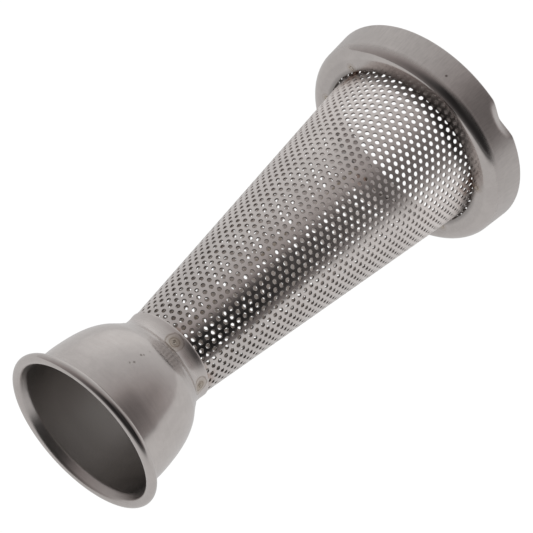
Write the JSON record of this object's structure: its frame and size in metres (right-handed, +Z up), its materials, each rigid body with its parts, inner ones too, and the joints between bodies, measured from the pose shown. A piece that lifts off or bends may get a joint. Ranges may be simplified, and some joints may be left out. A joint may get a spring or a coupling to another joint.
{
  "type": "perforated conical filter strainer element",
  "caption": "Perforated sheet-steel cone strainer, open at both ends, with a flanged cap at the wide end and a bell mouth with a rolled lip on the narrow neck.",
  "frame": {"origin": "on the filter axis, halfway between the cap's open rim and the front of the bell's rolled lip", "axes": "+X along the filter axis, from the bell mouth towards the cap's open rim; +Z up with the axis level"},
  "size_m": [0.1596, 0.0752, 0.0752],
  "materials": {
    "cap_brushed_steel": "lengthwise brushed",
    "screen_sheet_steel": "bright rolled, punched",
    "bell_polished_steel": "satin spun",
    "weld_heat_tint": "straw-brown heat tint"
  },
  "bodies": {
    "root": {"flange_cap": "cap_brushed_steel", "screen_cone": "screen_sheet_steel", "screen_seam_weld": "weld_heat_tint", "bell_mouth": "bell_polished_steel", "neck_spot_weld_1": "weld_heat_tint", "neck_spot_weld_2": "weld_heat_tint", "neck_spot_weld_3": "weld_heat_tint", "neck_spot_weld_4": "weld_heat_tint", "neck_spot_weld_5": "weld_heat_tint", "cap_spot_weld_1": "weld_heat_tint", "cap_spot_weld_2": "weld_heat_tint", "cap_spot_weld_3": "weld_heat_tint", "cap_spot_weld_4": "weld_heat_tint", "cap_spot_weld_5": "weld_heat_tint"}
  },
  "joints": []
}
